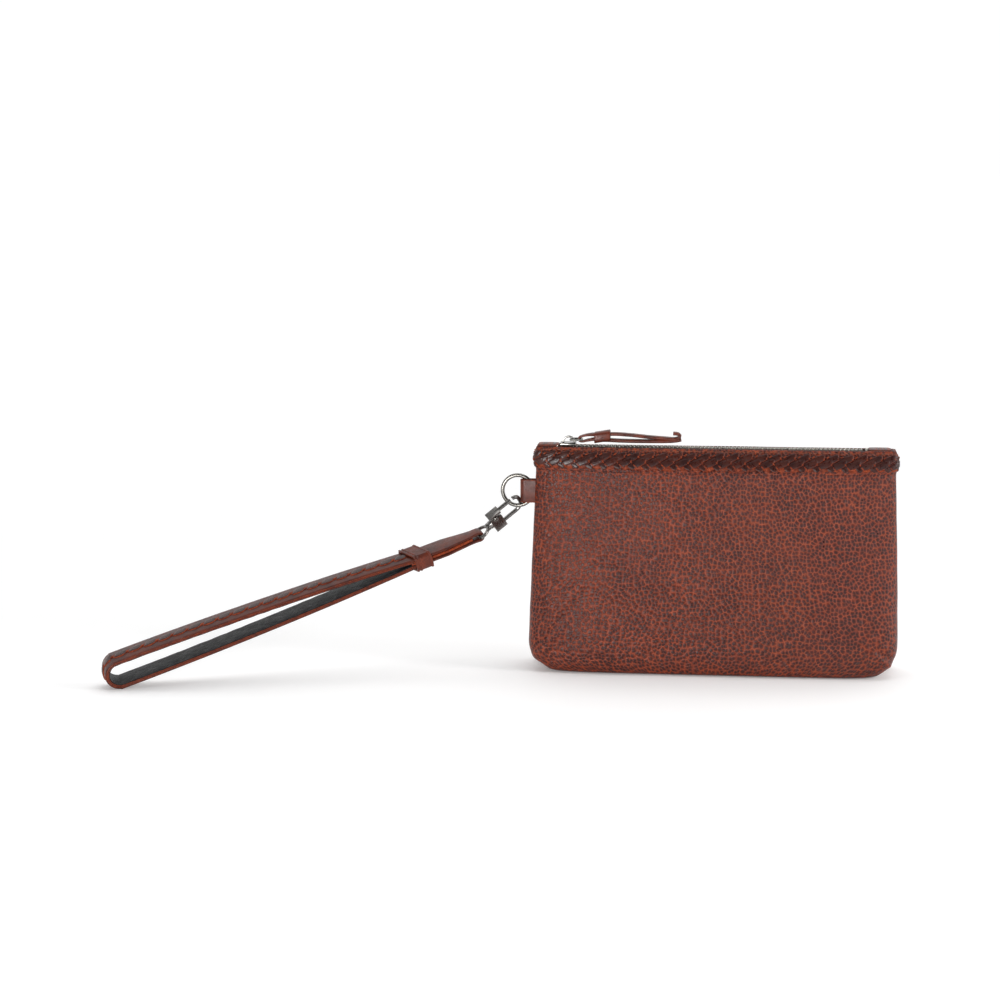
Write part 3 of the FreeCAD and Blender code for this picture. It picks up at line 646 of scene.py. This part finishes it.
def build_bands():
    """Leather bands over the lacing, their tops rolled in beside the zip."""
    for side, start in (("front", 0.0), ("back", 0.5)):
        cols = 260
        f = np.linspace(start, start + 0.5, cols)
        rows = [(h, 0.0) for h in np.linspace(BODY_HEIGHT, 128.6, 16)]
        rows += [(129.3, -0.15), (129.75, -0.5), (129.9, -0.95), (129.7, -1.35)]
        outer = np.stack([surf(f, h, lift) for h, lift in rows])
        inner = np.stack([surf(f, min(h, 129.2) - (0.3 if h > 129 else 0), -LEATHER) for h, _ in rows])
        heights = np.array([h for h, _ in rows])
        uv = np.stack(np.broadcast_arrays(f[None, :] * ARC, heights[:, None]), axis=-1)
        verts, faces, uvs = slab_from_grids(outer, inner, uv)
        band = open_with_mouth(make_mesh(side + "_band_leather", verts, faces, [PEBBLED], uvs))
        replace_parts(band, side + "_band")
        pile = Pile()
        for i in range(STITCH_COUNT):
            centre = start + 0.5 * (i + 0.5) / STITCH_COUNT

            def place(p, q, lift, centre=centre):
                return surf(centre + p / (2 * LACED_ARC), STITCH_HEIGHT + q, lift)

            add_float(pile, float_shape(1.9, 0.45, 0.0, 2.2, 12), 3, place, 0.28, -0.05)
        stitches = open_with_mouth(pile.make(side + "_band_stitches", [THREAD, THREAD]))


# ---------------------------------------------------------------- zip


TOOTH_PITCH, TOOTH_COUNT, FIRST_TOOTH = 2.2, 76, -83.4
ZIP_FOLDS = (("left", -101.2, -89.0, 1.0, 0.85), ("right", 86.4, 99.2, 0.75, 0.6))


def build_zip():
    """Two rows of teeth on their tape, which dips into the mouth, and a leather fold over each end."""
    rings = (
        (-2.65, 0.44, 0.92), (-2.4, 0.46, 1.0), (-0.5, 0.42, 0.98), (0.25, 0.50, 0.80), (0.7, 0.32, 0.42),
    )
    for side, sign, shift in (("front", 1, 0.0), ("back", -1, 1.1)):
        pile = Pile()
        for i in range(TOOTH_COUNT):
            x = FIRST_TOOTH + shift + TOOTH_PITCH * i
            verts = []
            for y, wide, tall in rings:
                for a in np.radians(np.arange(22.5, 360, 45)):
                    across, up = wide * 1.08 * math.cos(a), tall * 1.08 * math.sin(a)
                    verts.append((x + across, sign * y, ZIP_HEIGHT + up))
            faces = grid_faces(len(rings), 8, True) + [list(reversed(range(8))), list(range(32, 40))]
            if sign < 0:
                faces = [list(reversed(face)) for face in faces]
            pile.add(verts, faces, [0] * len(faces))
        teeth = open_with_mouth(pile.make(side + "_tooth_row", [TEETH]))
        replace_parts(teeth, side + "_teeth")
        xs = np.linspace(-87, 87, 120)
        top = [(2.72, 0.3), (3.6, 0.3), (4.3, 0.15), (4.8, -0.5), (5.6, -2.6), (6.9, -5.9)]
        under = [(2.72, -0.3), (3.5, -0.3), (3.95, -0.4), (4.3, -0.8), (5.1, -2.8), (6.4, -6.1)]
        grids = []
        for profile in (top, under):
            rows = [[(x, -sign * y, ZIP_HEIGHT + z) for x in xs] for y, z in profile]
            grids.append(np.array(rows))
        verts, faces, uvs = slab_from_grids(grids[0], grids[1], grids[0][..., :2])
        tape = open_with_mouth(make_mesh(side + "_zip_tape", verts, faces, [TAPE], uvs))
        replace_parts(tape, side + "_tape")
    for name, low, high, rise, height in ZIP_FOLDS:
        pile = Pile()
        centre = (low + high) / 2

        def place(p, q, lift, centre=centre, rise=rise):
            return np.stack([centre + p, q, ZIP_HEIGHT + rise + lift - 0.012 * q * q], axis=1)

        add_float(pile, float_shape(high - low, 10.4, 0.0, 6.0, 48), 0, place, height, 0.12)
        fold = pile.make("zip_fold_" + name, [PEBBLED, SMOOTH])
        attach(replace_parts(fold, "zip_end_" + name), "pouch")


def build_puller():
    """Leather thong folded through the pull link, held by a wrapped band, with a curled end."""
    eye_x, eye_z = -76.0, 133.25
    y = (0.0, 1.0, 0.0)
    eye = [(12, 0.7), (7.0, 0.3), (2.8, -0.5), (-0.2, -1.15), (-1.9, -0.3), (-1.5, 1.3), (0.6, 2.1)]
    eye += [(3.4, 2.7), (7.5, 3.0), (12, 3.0)]
    top = [(11, 2.9), (16, 3.3), (22, 3.25), (30, 2.7), (38, 1.9), (46, 1.35), (52.0, 1.0), (55.0, 1.5)]
    top += [(55.9, 2.9), (54.4, 3.9), (52.0, 4.1)]
    bottom = [(11, -0.1), (16, -0.2), (22, -0.45), (30, -0.55), (40, -0.5), (48, -0.35)]
    bottom += [(53.4, 0.0), (56.6, 0.7)]
    first = None
    for part, points, thick in (("eye", eye, 1.1), ("top", top, 1.8), ("bottom", bottom, 2.0)):
        path = resample(points, 60)
        place = np.stack([eye_x + path[:, 0], np.zeros(60), eye_z + path[:, 1]], axis=1)
        width = np.full(60, 5.0)
        if part == "eye":
            width -= 0.5 * np.exp(-(((path[:, 0] + 1.5) / 2.0) ** 2))
            thick = thick + 0.9 * np.clip(path[:, 0] / 9, 0, 1)
        strip = ribbon("thong_" + part, place, y, width, thick, [SMOOTH, SMOOTH], rounding=0.4)
        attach(strip, "puller")
        first = first or strip
    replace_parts(first, "puller_thong")
    loop = resample([(x * 6.9, z * 5.1) for x, z in section((0.22, 0.3), 5)], 44, closed=True)
    place = np.stack([np.full(44, eye_x + 11.6), loop[:, 0], eye_z + 1.9 + loop[:, 1]], axis=1)
    leg = (0.985, 0.0, 0.17)
    wrap = ribbon("wrap_band", place, leg, 9.2, 1.1, [SMOOTH, SMOOTH], closed=True, rounding=0.4)
    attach(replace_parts(wrap, "puller_wrap"), "puller")


# ---------------------------------------------------------------- ring tab and strap


def build_tab():
    """Leather tab folded round the ring, its ends held in the left seam."""
    path = [(-97.5, -2.45), (-101, -2.5), (-104.5, -2.45), (-108.1, -2.4)]
    path += arc_points((-108.6, 0), 2.4, -80, -280, 9)
    path += [(-108.1, 2.4), (-104.5, 2.45), (-101, 2.5), (-97.5, 2.45)]
    path = resample(path, 60)
    place = np.stack([path[:, 0], path[:, 1], np.full(60, 103.0)], axis=1)
    tab = ribbon("tab_loop", place, (0, 0, 1), 13.4, 1.05, [SMOOTH, CUT], rounding=0.4)
    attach(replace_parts(tab, "ring_tab"), "pouch")


EYE = np.array([-135.359, -6.477, 77.526])
ALONG = np.array([-0.898151, -0.311013, -0.310800])
ACROSS = np.array([0.373245, -0.912933, -0.165048])
OUT = np.cross(ALONG, ACROSS)


def strap_point(x, y, z):
    """Point of the strap's own frame: along it, across it and out of its upper face."""
    x, y, z = np.broadcast_arrays(np.asarray(x, float), y, z)
    return EYE + x[..., None] * ALONG + y[..., None] * ACROSS + z[..., None] * OUT


def strap_outline(inset, count=400):
    """Side view of the loop's band at a depth under its outer face, upper leg first."""
    upper = [(39.0, 3.3), (60, 4.6), (100, 6.6), (150, 8.2), (190, 8.9)]
    outer = upper + arc_points((218, 0), 9.0, 90, -90, 13) + [(x, -z) for x, z in reversed(upper)]
    path = resample(outer, count)
    tangent = np.gradient(path, axis=0)
    tangent /= np.linalg.norm(tangent, axis=1)[:, None]
    return path + inset * np.stack([tangent[:, 1], -tangent[:, 0]], axis=1)


def build_strap():
    """Layers of the looped band: face, glue line, middle, edge line and black lining."""
    layers = (
        ("strap_face_layer", 0.35, 1.40, 14.8, [STRAP_FACE, STRAP_FACE], "strap_leather"),
        ("strap_glue_line", 1.32, 1.66, 14.85, [CUT, CUT], "strap_leather"),
        ("strap_middle_layer", 1.58, 2.35, 14.9, [STRAP_FACE, STRAP_FACE], "strap_leather"),
        ("strap_edge_line", 2.26, 2.54, 14.85, [CUT, CUT], "strap_leather"),
        ("strap_black_layer", 2.5, 3.1, 14.3, [BLACK, BLACK], "lining_cloth"),
    )
    nodes = {"strap_face_layer": ["strap_leather"], "strap_black_layer": ["strap_lining"]}
    for name, near, far, width, materials, slot in layers:
        path = strap_outline((near + far) / 2)
        thick = np.full(len(path), far - near)
        if name == "strap_black_layer":
            run = np.arange(len(path)) * 1.2
            thick += 0.22 * np.sin(run / 2.3 + 1.4 * np.sin(run / 9.0)) * np.sin(run / 31.0 + 0.6)
        place = strap_point(path[:, 0], 0, path[:, 1])
        band = ribbon(name, place, ACROSS, width, thick, materials, rounding=0.45)
        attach(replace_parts(band, *nodes.get(name, [])), "strap")
    build_strap_lacing()
    build_keeper()
    build_strap_end()


def build_strap_lacing():
    """Lace floats along the band, with crossings of raw edge between them."""
    path = strap_outline(0.35, 800)
    run = np.concatenate([[0], np.cumsum(np.linalg.norm(np.diff(path, axis=0), axis=1))])
    tangent = np.gradient(path, axis=0)
    tangent /= np.linalg.norm(tangent, axis=1)[:, None]
    normal = np.stack([-tangent[:, 1], tangent[:, 0]], axis=1)

    def on_band(s, y, lift):
        x, z = np.interp(s, run, path[:, 0]), np.interp(s, run, path[:, 1])
        nx, nz = np.interp(s, run, normal[:, 0]), np.interp(s, run, normal[:, 1])
        return strap_point(x + nx * lift, y, z + nz * lift)

    rng = np.random.default_rng(9)
    lace, raw = Pile(), Pile()
    pitch = 8.8
    for i in range(int((run[-1] - 12) / pitch)):
        s = 8.0 + i * pitch
        jitter = rng.uniform(-1, 1, 3)
        outline = float_shape(7.2 * (1 + 0.04 * jitter[0]), 5.6, 0.5, 3.4)
        add_float(lace, outline, 4 * jitter[1], lambda p, q, lift, s=s: on_band(s + p, q, lift), 0.85, 0.0)
        for turn in (34, -34):
            outline = float_shape(4.2, 0.95, 0.0, 2.6)

            def place(p, q, lift, s=s):
                return on_band(s + pitch / 2 + p, q, lift)

            add_float(raw, outline, turn, place, 0.75, -0.05)
    floats = lace.make("strap_lace", [LACE_FACE, CUT])
    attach(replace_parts(floats, "strap_lacing"), "strap")
    crosses = raw.make("strap_lace_crossings", [CUT, CUT])
    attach(crosses, "strap")


KEEPER_SKEW = 0.32


def band_loop(name, x, width, wide, tall, thick, materials):
    """Closed leather band round the strap at x."""
    loop = resample([(a * wide, b * tall) for a, b in section((0.10, 0.26), 4)], 64, closed=True)
    place = strap_point(x - KEEPER_SKEW * loop[:, 0], loop[:, 0], loop[:, 1])
    made = ribbon(name, place, ALONG, width, thick, materials, closed=True, rounding=0.45)
    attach(made, "strap")
    return made


def build_keeper():
    """Keeper band with three raised ridges."""
    keeper = band_loop("keeper_band", 38.5, 10.0, 16.6, 8.4, 1.0, [SMOOTH, SMOOTH])
    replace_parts(keeper, "strap_keeper")
    for i, x in enumerate((34.2, 41.0, 42.9)):
        band_loop(f"keeper_ridge_{i}", x, 1.3, 17.3, 9.1, 0.8, [SMOOTH, SMOOTH])


def build_strap_end():
    """Tapered end piece folded round the swivel eye, over a flat core."""
    path = [(43, 1.9), (34, 1.95), (24, 1.95), (14, 1.9), (7, 1.85), (3, 2.0), (0.4, 2.15)]
    path += arc_points((0, 0), 2.15, 100, 260, 9)
    path += [(0.4, -2.15), (3, -2.0), (7, -1.85), (14, -1.9), (24, -1.95), (34, -1.95), (43, -1.9)]
    path = resample(path, 150)
    width = 8.0 + 6.8 * np.clip((path[:, 0] - 3) / 18, 0, 1)
    place = strap_point(path[:, 0], 0, path[:, 1])
    fold = ribbon("end_fold", place, ACROSS, width, 1.5, [SMOOTH, STRAP_FACE], rounding=0.45)
    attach(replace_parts(fold, "strap_end"), "strap")
    core = resample([(4.4, 0), (10, 0), (20, 0), (30, 0), (43, 0)], 60)
    width = 7.6 + 6.8 * np.clip((core[:, 0] - 3) / 18, 0, 1)
    place = strap_point(core[:, 0], 0, core[:, 1])
    filler = ribbon("end_core", place, ACROSS, width, 1.7, [STRAP_FACE, CUT], rounding=0.45)
    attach(filler, "strap")


METALS = {
    "o_ring": (NICKEL, 0, "ring_metal", "ring"),
    "slider_body": (NICKEL, 0.5, "ring_metal", "slider"),
    "slider_bridge": (NICKEL, 0.25, "ring_metal", "slider"),
    "pull_link": (NICKEL, 0, "ring_metal", "link"),
    "zip_far_stop": (TEETH, 0.25, "teeth_metal", "pouch"),
    "zip_near_stops": (TEETH, 0.25, "teeth_metal", "pouch"),
    "hook_body": (GUNMETAL, 0.42, "hook_metal", "hook"),
    "hook_gate": (GUNMETAL, 0.3, "hook_metal", "gate"),
    "gate_pin": (NICKEL, 0.2, "hook_metal", "hook"),
    "gate_spring": (STEEL, 0, "spring_steel", "hook"),
    "swivel_eye": (GUNMETAL, 0.3, "hook_metal", "eye"),
}


def dress_metal():
    """Castings get softened edges; round wires keep their own mesh. Both take a metal finish."""
    for node, (material, bevel, slot, body) in METALS.items():
        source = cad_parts[node]
        if not bevel:
            source.data.materials.clear()
            source.data.materials.append(material)
            continue
        piece = source.copy()
        piece.data = source.data.copy()
        piece.name = node + "_cast"
        piece.data.materials.clear()
        piece.data.materials.append(material)
        piece.parent = None
        piece.matrix_world = source.matrix_world.copy()
        bpy.context.scene.collection.objects.link(piece)
        soften(piece, bevel * MM)
        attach(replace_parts(piece, node), body)
    rivet()


def soften(piece, width):
    """Rounds the hard edges of one mesh."""
    weld = piece.modifiers.new("weld", "WELD")
    weld.merge_threshold = 1e-5
    bevel = piece.modifiers.new("bevel", "BEVEL")
    bevel.width = width
    bevel.segments = 3
    bevel.limit_method = "ANGLE"
    bevel.angle_limit = math.radians(40)
    bevel.use_clamp_overlap = True
    with bpy.context.temp_override(object=piece, active_object=piece, selected_objects=[piece]):
        for name in ("weld", "bevel"):
            bpy.ops.object.modifier_apply(modifier=name)
    piece.data.polygons.foreach_set("use_smooth", [True] * len(piece.data.polygons))
    piece.data.set_sharp_from_angle(angle=math.radians(32))


GATE_PIN = np.array([-126.357, -5.952, 88.340])
GATE_AXIS = np.array([-0.592524, 0.660455, 0.46121])


def rivet():
    """Domed heads of the gate's pin on both cheeks of the hook."""
    side = np.cross(GATE_AXIS, (0.0, 0.0, 1.0))
    side /= np.linalg.norm(side)
    other = np.cross(GATE_AXIS, side)
    pile = Pile()
    for sign in (-1, 1):
        verts, count = [], 20
        for radius, out in ((1.5, 2.45), (1.5, 2.75), (1.25, 3.0), (0.8, 3.12), (0.25, 3.16)):
            for i in range(count):
                a = 2 * math.pi * i / count * sign
                round_pin = radius * (math.cos(a) * side + math.sin(a) * other)
                verts.append(GATE_PIN + sign * out * GATE_AXIS + round_pin)
        faces = grid_faces(5, count, True)
        faces += [list(reversed(range(count))), list(range(4 * count, 5 * count))]
        pile.add(verts, faces, [0] * len(faces))
    heads = pile.make("gate_rivet_heads", [NICKEL])
    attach(heads, "hook")


# ---------------------------------------------------------------- stage


def area_light(name, place, target, size, power):
    """Rectangular white light at place, facing target."""
    data = bpy.data.lights.new(name, "AREA")
    data.shape = "RECTANGLE"
    data.size, data.size_y = size
    data.energy = power
    made = bpy.data.objects.new(name, data)
    made.location = place
    made.rotation_euler = (Vector(target) - Vector(place)).to_track_quat("-Z", "Y").to_euler()
    bpy.context.scene.collection.objects.link(made)


def build_stage():
    """Pale floor with a painted glow, white surroundings, three soft lights and the camera."""
    shader = Shader("studio_floor", Roughness=0.7, Specular_IOR_Level=0.1)
    away = shader.node("VectorMath", {"operation": "LENGTH"}, _0=shader.coords("Object")).outputs["Value"]
    # Painted light: the floor glows, weakly beside the object and more with distance, so it reads white and
    # hides the horizon.
    glow = shader.ramp(away, 0.3, 1.6, 0.14, 0.48)
    shader.tree.links.new(glow, shader.bsdf.inputs["Emission Strength"])
    shader.bsdf.inputs["Base Color"].default_value = (0.92, 0.92, 0.92, 1)
    shader.bsdf.inputs["Emission Color"].default_value = (1, 1, 1, 1)
    size = 9000
    corners = [(-size, -size, -0.05), (size, -size, -0.05), (size, size, -0.05), (-size, size, -0.05)]
    make_mesh("studio_floor", corners, [[0, 1, 2, 3]], [shader.material], smooth=False)
    world = bpy.data.worlds.new("studio")
    bpy.context.scene.world = world
    world.use_nodes = True
    nodes, links = world.node_tree.nodes, world.node_tree.links
    split = nodes.new("ShaderNodeSeparateXYZ")
    links.new(nodes.new("ShaderNodeTexCoord").outputs["Generated"], split.inputs[0])
    fade = nodes.new("ShaderNodeMapRange")
    links.new(split.outputs["Y"], fade.inputs["Value"])
    for socket, number in (("From Min", -0.55), ("From Max", 0.35), ("To Min", 0.07), ("To Max", 1.02)):
        fade.inputs[socket].default_value = number
    background = nodes["Background"]
    background.inputs["Color"].default_value = (1, 1, 1, 1)
    links.new(fade.outputs["Result"], background.inputs["Strength"])
    bpy.context.scene.view_settings.view_transform = "Standard"
    area_light("left_softbox", (-0.42, -1.06, 0.12), (-0.09, 0, 0.08), (0.46, 0.22), 10)
    area_light("right_strip", (0.9, -0.20, 0.30), (0.1, 0, 0.06), (0.20, 0.7), 6)
    area_light("top_softbox", (0.0, 0.1, 1.3), (0, 0, 0), (1.2, 1.0), 5)
    camera = bpy.data.objects.new("camera", bpy.data.cameras.new("camera"))
    camera.data.sensor_width = 36.0
    camera.data.lens = 81.36
    camera.data.clip_end = 50
    camera.location = (0, -1.281, 0.324)
    camera.rotation_euler = (math.radians(80), 0, math.radians(5.5))
    bpy.context.scene.collection.objects.link(camera)
    bpy.context.scene.camera = camera


build_shell()
build_base()
build_bands()
build_lacing()
build_zip()
build_puller()
build_tab()
build_strap()
dress_metal()
build_stage()
